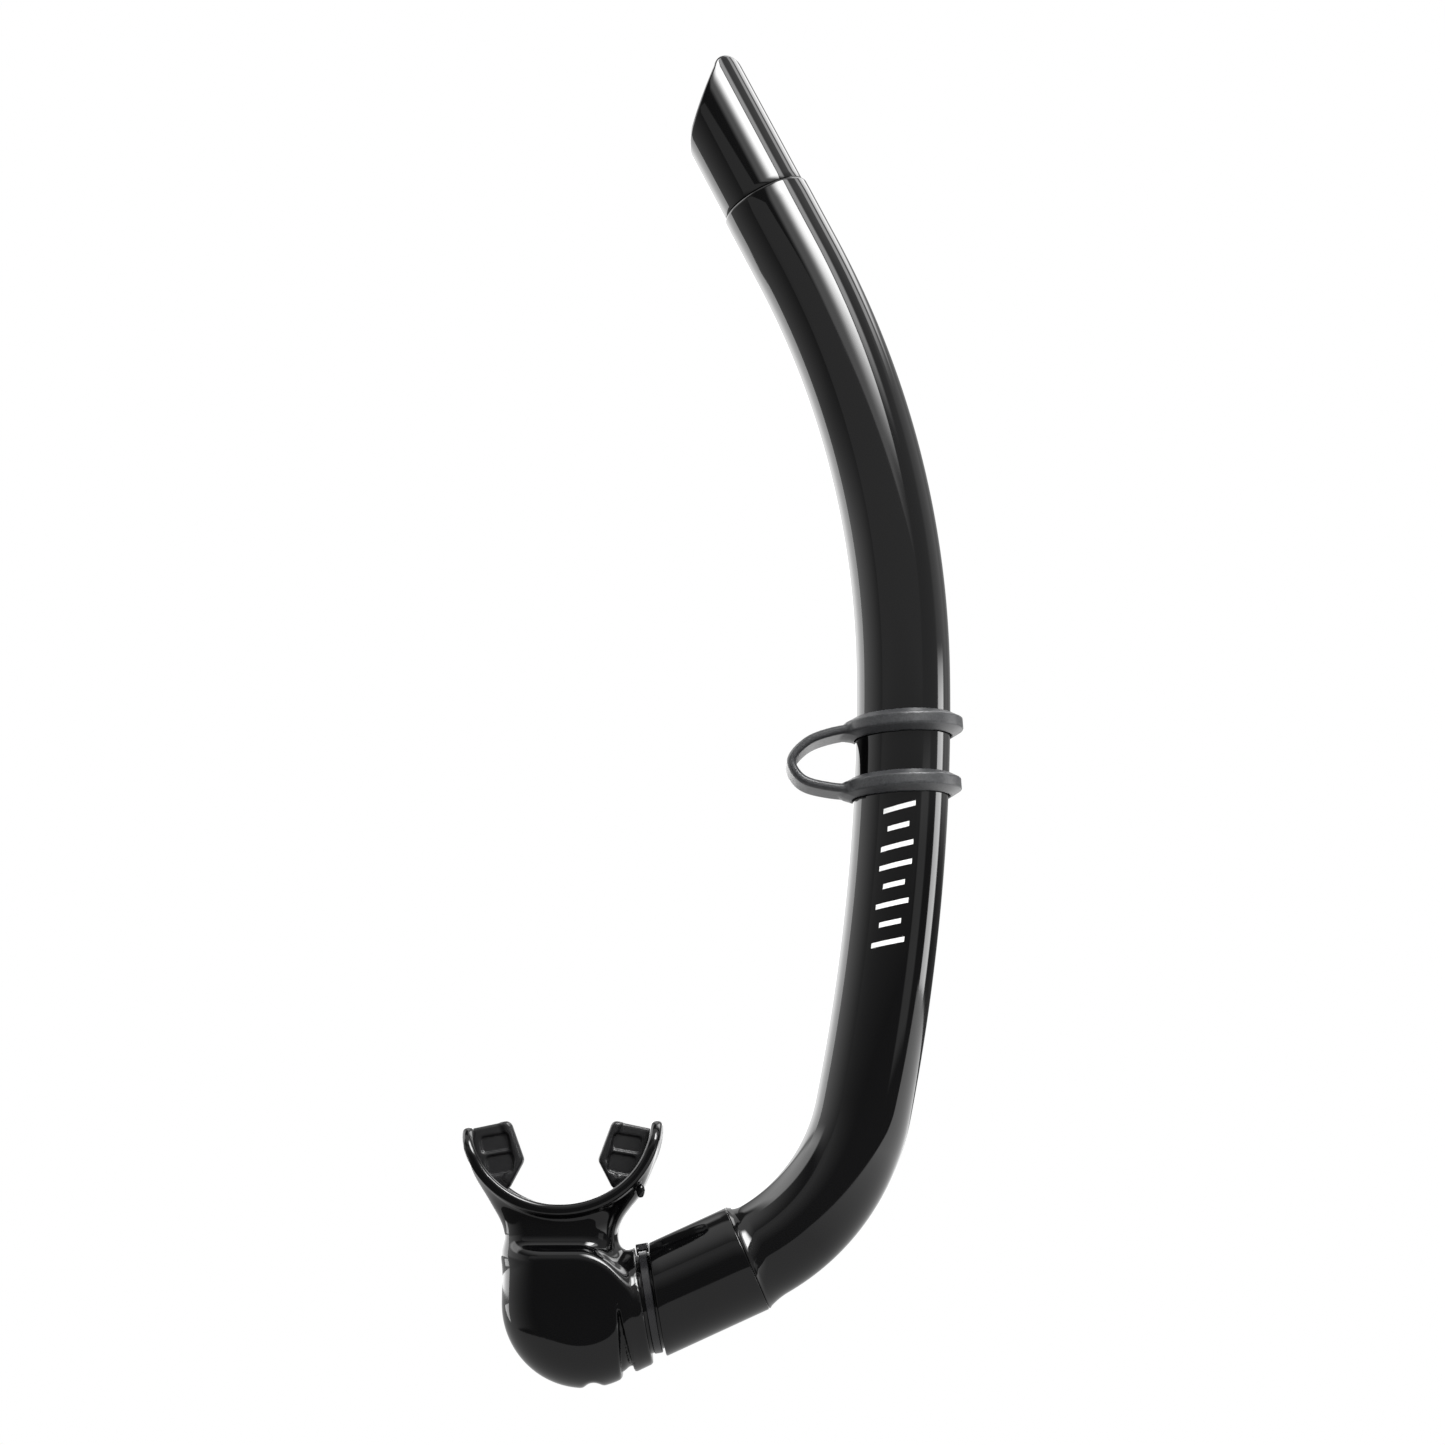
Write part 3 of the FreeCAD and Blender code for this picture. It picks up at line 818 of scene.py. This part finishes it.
def sleeve():
    """Part of the moulding beyond the groove: a straight sleeve, and the groove's floor."""
    turn = full_turn(LOFT_SIDES)
    skew = math.tan(math.radians(GROOVE_HEADING - SLEEVE_HEADING))

    def ring(radius, along, share=0.0):
        """Share 1 lies square to the groove, share 0 square to the sleeve."""
        height = along + share * radius * np.cos(turn) * skew
        return np.stack([radius * np.cos(turn), radius * np.sin(turn), height], -1)

    groove_end = -GROOVE_AT + GROOVE_WIDTH / 2 / math.cos(math.radians(SLEEVE_HEADING - GROOVE_HEADING))
    far = -SLEEVE_GAP
    floor_end = -SPIGOT_LENGTH + 2
    rings = [ring(SLEEVE_BORE_R, floor_end, 1), ring(GROOVE_FLOOR_R, floor_end, 1)]
    root = GROOVE_ROOT_R
    rings += [ring(GROOVE_FLOOR_R, d, 1) for d in np.linspace(floor_end, groove_end - root, 8)[1:]]
    for a in np.radians((0, 45, 90)):
        rings.append(ring(GROOVE_FLOOR_R + root * (1 - math.cos(a)),
                          groove_end - root + root * math.sin(a), 1))
    for a in np.radians((0, 22, 45, 67, 90)):
        rings.append(ring(SLEEVE_R - SLEEVE_EDGE * (1 - math.sin(a)),
                          groove_end + SLEEVE_EDGE * (1 - math.cos(a)), 1))
    start = groove_end + SLEEVE_EDGE
    for share in np.linspace(0, 1, 12)[1:-1]:
        rings.append(ring(SLEEVE_R, start + (far - SLEEVE_SEAM_EDGE - start) * share, 1 - share))
    for a in np.radians((0, 22, 45, 67, 90)):
        rings.append(ring(SLEEVE_R - SLEEVE_SEAM_EDGE * (1 - math.cos(a)),
                          far - SLEEVE_SEAM_EDGE * (1 - math.sin(a))))
    rings.append(ring(SLEEVE_BORE_R, far))
    for share in np.linspace(0, 1, 8)[1:-1]:
        rings.append(ring(SLEEVE_BORE_R, far + (floor_end - far) * share, share))
    points, faces = rings_mesh([placed(r, COURSE[0, :2], SLEEVE_HEADING) for r in rings])
    piece = finished("mouthpiece_sleeve", points, faces, SILICONE)
    weld(piece)
    shade(piece, 40)
    return piece


TAB_CORNER_R = 2.0
TAB_HALF = 2.1
TAB_LIP_HALF = 3.0
TAB_POCKET_FLOOR = 1.45
TAB_LEAN = 10.0
TAB_MIDDLE = (-20.0, 15.0)
TAB_PLATE = ((-29.5, 20.4), (-17.4, 22.9), (-13.9, 13.4), (-17.6, 6.4), (-19.3, 3.0), (-29.5, 9.5))
TAB_LIP = ((-16, 25), (-11.7, 13.2), (-15.8, 5.5), (-18, 7.4), (-14.3, 13.4), (-18.6, 24.4))
TAB_POCKETS = ((0.2, 3.4, 4.4, 2.4), (0.6, -3.2, 4.0, 2.9))       # middle and half size of each
TAB_POCKET_CORNER_R = 1.2


def tab_form(x, y, z):
    """Both bite tabs: thin blades with a low lip along the inner edge and two shallow tooth pockets."""
    x = -np.abs(x)
    outline = polygon_distance(x, z, TAB_PLATE) - TAB_CORNER_R
    blade = thick_outline(outline, y, TAB_HALF, 0.8)
    lip = thick_outline(np.maximum(polygon_distance(x, z, TAB_LIP), outline), y, TAB_LIP_HALF, 0.9)
    lean = math.radians(TAB_LEAN)
    dx, dz = x - TAB_MIDDLE[0], z - TAB_MIDDLE[1]
    across, up = dx * math.cos(lean) + dz * math.sin(lean), dz * math.cos(lean) - dx * math.sin(lean)
    pockets = np.minimum.reduce([rounded_box(across - u, up - v, half_u, half_v, TAB_POCKET_CORNER_R)
                                 for u, v, half_u, half_v in TAB_POCKETS])
    pockets = np.maximum(pockets, TAB_POCKET_FLOOR - np.abs(y))
    shape = blend_out(blend_in(blade, lip, 1.2), -pockets, 0.7)
    return np.maximum(shape, arch_distance(x, z, SHIELD_THICKNESS * 0.7))


def bite_tabs():
    points, faces = skin(tab_form, (-30.5, -5.6, 0), (30.5, 5.6, 27), 0.45)
    piece = finished("bite_tabs", points, faces, MATTE_SILICONE)
    weld(piece)
    return piece


# ---------------------------------------------------------------- clamp tie

def tie_head_form(a, t, o):
    """Head of the tie with its slot and the cut tail, along the groove's axis, round it and out of it."""
    length, width, height = TIE_HEAD
    above, slot_half, slot_rise = TIE_SLOT
    tail_half, tail_rise, tail_out = TIE_TAIL
    level = o - TIE_INSIDE_R
    block = rounded_box(a, t, length / 2, width / 2, 0.5)
    block = np.maximum(block, np.abs(level - height / 2) - height / 2)
    slot_cut = np.maximum(np.abs(a) - slot_half, np.abs(level - above) - slot_rise)
    tail = np.maximum(np.abs(a) - tail_half, np.abs(level - above) - tail_rise)
    tail = np.maximum(tail, np.abs(t) - width / 2 - tail_out)
    return np.minimum(blend_out(block, -slot_cut, 0.3), tail)


def clamp_tie():
    """Band round the groove, its head and the cut end of its tail."""
    outer, half = TIE_INSIDE_R + TIE_THICKNESS, TIE_WIDTH / 2
    section = [(TIE_INSIDE_R, -half), (outer - TIE_EDGE, -half), (outer, -half + TIE_EDGE),
               (outer, half - TIE_EDGE), (outer - TIE_EDGE, half), (TIE_INSIDE_R, half)]
    turn = full_turn(TIE_SIDES)
    rings = [np.stack([r * np.cos(turn), r * np.sin(turn), np.full(TIE_SIDES, h)], -1) for r, h in section]
    points, faces = rings_mesh([placed(r, GROOVE_POINT, GROOVE_HEADING) for r in rings])
    band = finished("tie_band", points, faces, NYLON)
    low, high = (-2.6, -4.2, TIE_INSIDE_R - 0.4), (2.6, 4.2, TIE_INSIDE_R + TIE_HEAD[2] + 0.4)
    local, quads = skin(tie_head_form, low, high, 0.2)
    a, t, o = local.T
    head_turn = math.radians(TIE_HEAD_TURN)
    across = o * math.cos(head_turn) - t * math.sin(head_turn)
    side = o * math.sin(head_turn) + t * math.cos(head_turn)
    world = placed(np.stack([-across, side, a], -1), GROOVE_POINT, GROOVE_HEADING)
    piece = join([band, finished("tie_head", world, quads, NYLON)], "clamp_tie")
    weld(piece, 0.001)
    shade(piece, 35)
    return piece


# ---------------------------------------------------------------- strap keeper

def smooth_curve(corners, count):
    """Smooth line through corner points, even in its parameter."""
    corners = np.array(corners, float)
    ends = np.vstack([2 * corners[0] - corners[1], corners, 2 * corners[-1] - corners[-2]])
    line = []
    for i in range(1, len(ends) - 2):
        p0, p1, p2, p3 = ends[i - 1:i + 3]
        for t in np.linspace(0, 1, count, endpoint=False):
            line.append(0.5 * (2 * p1 + (p2 - p0) * t + (2 * p0 - 5 * p1 + 4 * p2 - p3) * t * t
                               + (3 * p1 - p0 - 3 * p2 + p3) * t ** 3))
    return line + [corners[-1]]


def inset_line(line, inset):
    """The same line moved to its right-hand side."""
    line = np.array(line)
    run = np.gradient(line, axis=0)
    run /= np.linalg.norm(run, axis=1)[:, None]
    return line + np.stack([run[:, 1], -run[:, 0]], 1) * -inset


LOOP_LINE = inset_line(smooth_curve(LOOP_OUTER, 10), LOOP_THICKNESS / 2)


def barrel_distance(x, y, z):
    """Distance outside the barrel near the keeper, where it bends gently."""
    radius = BENDS[1][0]
    middle_start, heading = along_arc(COURSE[0, :2], SLEEVE_HEADING, *BENDS[0])
    centre = arc_centre(middle_start, heading, radius)
    return np.hypot(np.hypot(x - centre[0], z - centre[1]) - radius, y)


def ring_centre(level):
    rows = COURSE[np.argsort(np.abs(COURSE[:, 1] - level))[:2]]
    share = (level - rows[0, 1]) / (rows[1, 1] - rows[0, 1])
    return rows[0, :2] + (rows[1, :2] - rows[0, :2]) * share


RING_CENTRES = [ring_centre(level) for level in KEEPER_RING_Z]


RING_SECTION = ((KEEPER_INSIDE_R - 1, -KEEPER_RING_HALF), (KEEPER_INSIDE_R + 0.3, -KEEPER_RING_HALF),
                (KEEPER_RING_R, -KEEPER_RING_FACE), (KEEPER_RING_R, KEEPER_RING_FACE),
                (KEEPER_INSIDE_R + 0.3, KEEPER_RING_HALF), (KEEPER_INSIDE_R - 1, KEEPER_RING_HALF))


def keeper_form(x, y, z):
    """Two rings with sloping sides that flow into the arms of the loop, bored to the barrel's bend."""
    edge = np.clip((np.abs(y) - (LOOP_HALF_WIDTH - LOOP_EDGE_ROUND)) / LOOP_EDGE_ROUND, 0, 1.5)
    band = line_distance(x, z, LOOP_LINE) - LOOP_THICKNESS / 2 + edge * 0.75
    shape = np.maximum(band * 0.85, np.abs(y) - LOOP_HALF_WIDTH)
    for centre in RING_CENTRES:
        reach, height, _ = about_axis(x, y, z, centre, 90 + KEEPER_RING_TILT)
        shape = blend_in(shape, polygon_distance(reach, height, RING_SECTION), 1.6)
    return blend_out(shape, KEEPER_INSIDE_R - barrel_distance(x, y, z), 0.5)


def strap_keeper():
    points, faces = skin(keeper_form, (68.5, -20.4, 121.5), (129, 20.4, 157), 0.5)
    piece = finished("strap_keeper", points, faces, RUBBER)
    weld(piece)
    return piece


# ---------------------------------------------------------------- printed mark

MARK_BARS = (10.0, 6.6, 10.0, 10.0, 6.6, 10.0, 6.6, 10.0)     # widths, from the top down
MARK_PITCH = 6.1
MARK_SLANT = 3.4                  # rise of a full bar from one end to the other
MARK_TOP_Z = 122.0
MARK_STROKE = 1.6
MARK_PROUD = 0.05
MARK_TURN = -4.0


MARK_STEPS = 12
MARK_ROOT = 0.03                  # how far the print's foot is sunk into the barrel


def on_barrel(distance, angle, radius):
    """Point at an angle round the barrel, from its front, at a distance along it."""
    (x, z), heading = course_at(distance)
    out = ahead(heading - 90) * radius * math.sin(angle)
    return x + out[0], -radius * math.cos(angle), z + out[1]


def printed_mark():
    """Stack of slanted bars lying on the barrel."""
    top = COURSE[np.argmin(np.abs(COURSE[:, 1] - MARK_TOP_Z)), 3]
    points, faces = [], []
    for i, width in enumerate(MARK_BARS):
        level, rise, start = -i * MARK_PITCH, MARK_SLANT / 2 * width / MARK_BARS[0], len(points)
        for t in np.linspace(0, 1, MARK_STEPS + 1):
            angle = math.radians(MARK_TURN) + width * (t - 0.5) / BARREL_R
            for offset, proud in ((-0.5, 0), (-0.5, 1), (0.5, 1), (0.5, 0)):
                distance = top + level + rise * (2 * t - 1) + offset * MARK_STROKE
                radius = BARREL_R - MARK_ROOT + proud * (MARK_PROUD + MARK_ROOT)
                points.append(on_barrel(distance, angle, radius))
        for row in range(start, start + 4 * MARK_STEPS, 4):
            for j in range(4):
                a, b = row + j, row + (j + 1) % 4
                faces.append((a, b, b + 4, a + 4))
        last = start + 4 * MARK_STEPS
        faces += [(start + 3, start + 2, start + 1, start), (last, last + 1, last + 2, last + 3)]
    piece = finished("printed_mark", points, faces, INK)
    weld(piece, 0.0005)
    shade(piece, 30)
    return piece


# ---------------------------------------------------------------- pieces on their bodies

for piece, body, stands_for, finish_slot in (
        (barrel(), "barrel", "tube", "barrel"),
        (splash_tip(), "barrel", "splash_tip", "tip"),
        (mouthpiece_body(), "mouthpiece", "mouthpiece", "mouthpiece"),
        (sleeve(), "mouthpiece", "mouthpiece", "mouthpiece"),
        (bite_tabs(), "mouthpiece", "mouthpiece", "mouthpiece"),
        (clamp_tie(), "mouthpiece", "clamp_tie", "tie"),
        (strap_keeper(), "keeper", "strap_keeper", "keeper"),
        (printed_mark(), "barrel", None, None)):
    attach(piece, body)
    if stands_for:
        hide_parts(stands_for)


# ---------------------------------------------------------------- studio

def stage_finish(name, colour, glow=0.0, fade=None):
    """Matt finish that can glow. A fade is (axis, from, to, glow there) in metres."""
    material, shader = plain_finish(name, colour, 0.9)
    shader.inputs["Specular IOR Level"].default_value = 0.0
    shader.inputs["Emission Color"].default_value = (1, 1, 1, 1)
    shader.inputs["Emission Strength"].default_value = glow
    if fade:
        axis, start, end, far_glow = fade
        split = node(material, "ShaderNodeSeparateXYZ")
        link = material.node_tree.links.new
        link(node(material, "ShaderNodeTexCoord").outputs["Object"], split.inputs["Vector"])
        strength = ranged(material, split.outputs[axis], glow, far_glow, start, end)
        link(strength, shader.inputs["Emission Strength"])
    return material


def sheet_of(name, corners, material):
    mesh = bpy.data.meshes.new(name)
    mesh.from_pydata(corners, [], [tuple(range(len(corners)))])
    mesh.materials.append(material)
    piece = bpy.data.objects.new(name, mesh)
    bpy.context.scene.collection.objects.link(piece)
    return piece


def mirrored_only(sheet):
    """A sheet that nothing but a polished surface shows."""
    sheet.visible_camera = False
    sheet.visible_diffuse = False
    sheet.visible_shadow = False


FLOOR_Z = -0.0562
FLOOR_FRONT, FLOOR_BACK = -0.6, 4.0
FLOOR_HALF_WIDTH = 3.0
CARD_EDGE = ((-0.5, 0.43), (0.13, -0.2), (0.45, -0.14), (3.0, -0.2))     # front edge of the card, x and y
BOARD_Y = -0.5
BOARD_HALF_WIDTH = 0.6
BOARD_FOOT, BOARD_TOP = 0.08, 0.43

BLACK = (0.0, 0.0, 0.0)
FRONT_CORNERS = [(-FLOOR_HALF_WIDTH, FLOOR_FRONT, FLOOR_Z), (FLOOR_HALF_WIDTH, FLOOR_FRONT, FLOOR_Z)]
BACK_CORNERS = [(FLOOR_HALF_WIDTH, FLOOR_BACK, FLOOR_Z), (-FLOOR_HALF_WIDTH, FLOOR_BACK, FLOOR_Z)]
floor = sheet_of("floor", FRONT_CORNERS + BACK_CORNERS, stage_finish("pale_floor", BLACK, 1.0))
floor.visible_glossy = False
# Grey card on the floor, seen only in reflections, whose glow is painted floor light: dim under the object as
# a painted shadow, paler towards the right. A dim board in front of the upper barrel
card = sheet_of("grey_card", [(x, y, FLOOR_Z) for x, y in CARD_EDGE] + BACK_CORNERS
                + [(-FLOOR_HALF_WIDTH, CARD_EDGE[0][1], FLOOR_Z)],
                stage_finish("grey_card", BLACK, 0.60, ("X", 0.12, 0.32, 1.9)))
BOARD_CORNERS = [(-BOARD_HALF_WIDTH, BOARD_Y, BOARD_FOOT), (BOARD_HALF_WIDTH, BOARD_Y, BOARD_FOOT),
                 (BOARD_HALF_WIDTH, BOARD_Y, BOARD_TOP), (-BOARD_HALF_WIDTH, BOARD_Y, BOARD_TOP)]
board = sheet_of("dim_board", BOARD_CORNERS,
                 stage_finish("dim_board", BLACK, 0.10, ("Z", BOARD_FOOT, 0.30, 0.50)))
mirrored_only(card)
mirrored_only(board)

# Light panels round the object: azimuth from the camera's side towards +X, and elevation, in degrees.
# Each is (from, to, fade before, fade after) in azimuth, the same in elevation, and its brightness.
PANELS = (
    ((28, 46, 26, 2), (37, 60, 15, 12), 23.0),        # main softbox
    ((50, 60, 1, 8), (37, 60, 10, 12), 5.0),          # its second leaf
    ((0, 25, 12, 25), (19, 36, 6, 5), 1.6),           # its glow
    ((45, 160, 10, 10), (8, 45, 4, 6), 0.3),
    ((102, 112, 3, 6), (38, 60, 6, 10), 2.5),         # strips on the right
    ((126, 150, 3, 8), (36, 60, 6, 8), 3.4),
    ((95, 125, 10, 12), (8, 34, 6, 6), 0.25),
    ((50, 66, 4, 5), (-3, 7, 2, 3), 0.5),
    ((92, 110, 2, 4), (-6, 10, 2, 4), 6.5),
    ((-180, -114, 0, 1.5), (-20, 22, 2, 4), 1.9),     # soft light on the left
    ((-140, -114, 25, 1.5), (-20, 22, 2, 4), 1.6),
    ((-114, -112, 1, 80), (7, 24, 8, 10), 1.15),
    ((-114, -112, 1, 80), (-20, -2, 3, 8), 0.55),
    ((-112, -86, 60, 6), (30, 50, 8, 8), 2.8),
    ((-100, 180, 20, 0), (66, 90, 34, 0), 0.9),       # overhead
    ((-180, -166, 0, 3), (-6, 50, 1, 10), 0.9),       # what the backdrop gives
    ((170, 180, 3, 0), (-6, 50, 1, 10), 0.7),
)
ROOM_GLOW = 0.10


def studio_world():
    """The panels' light, with plain white wherever the camera looks past the object."""
    world = bpy.data.worlds.new("studio")
    world.use_nodes = True
    tree = world.node_tree
    make, wire = tree.nodes.new, tree.links.new

    def maths(operation, *sources):
        made = make("ShaderNodeMath")
        made.operation = operation
        for socket, source in zip(made.inputs, sources):
            if isinstance(source, (int, float)):
                socket.default_value = source
            else:
                wire(source, socket)
        return made.outputs["Value"]

    def ramp(source, start, end, low, high):
        made = make("ShaderNodeMapRange")
        made.interpolation_type = "SMOOTHSTEP"
        for key, value in (("From Min", start), ("From Max", end), ("To Min", low), ("To Max", high)):
            made.inputs[key].default_value = value
        wire(source, made.inputs["Value"])
        return made.outputs["Result"]

    def window(source, start, end, before, after):
        rise = ramp(source, start - before, start + 0.01, 0, 1)
        return maths("MULTIPLY", rise, ramp(source, end, end + after + 0.01, 1, 0))

    split = make("ShaderNodeSeparateXYZ")
    wire(make("ShaderNodeTexCoord").outputs["Generated"], split.inputs["Vector"])
    x, y, z = split.outputs
    azimuth = maths("DEGREES", maths("ARCTAN2", x, maths("MULTIPLY", y, -1)))
    elevation = maths("DEGREES", maths("ARCSINE", z))
    total = None
    for across, up, glow in PANELS:
        light = maths("MULTIPLY", maths("MULTIPLY", window(azimuth, *across), window(elevation, *up)), glow)
        total = light if total is None else maths("ADD", total, light)
    strength = maths("ADD", total, ROOM_GLOW)
    mixed = make("ShaderNodeMix")
    wire(make("ShaderNodeLightPath").outputs["Is Camera Ray"], mixed.inputs["Factor"])
    wire(strength, mixed.inputs["A"])
    mixed.inputs["B"].default_value = 1.0
    background = tree.nodes["Background"]
    background.inputs["Color"].default_value = (1, 1, 1, 1)
    wire(mixed.outputs["Result"], background.inputs["Strength"])
    return world


bpy.context.scene.world = studio_world()
bpy.context.scene.view_settings.view_transform = "Standard"
bpy.context.scene.view_settings.look = "None"

# Camera level with the mouthpiece, looking up at the middle of the object
CAMERA_AIM = np.array([0.050, 0.0, 0.1515])
CAMERA_DISTANCE = 0.873
CAMERA_RISE = math.radians(11.0)
lens = bpy.data.cameras.new("camera")
lens.lens = 68.0
lens.sensor_width = 36.0
camera = bpy.data.objects.new("camera", lens)
bpy.context.scene.collection.objects.link(camera)
camera.location = CAMERA_AIM - CAMERA_DISTANCE * np.array([0, math.cos(CAMERA_RISE), math.sin(CAMERA_RISE)])
camera.rotation_euler = (math.radians(90) + CAMERA_RISE, 0, 0)
bpy.context.scene.camera = camera
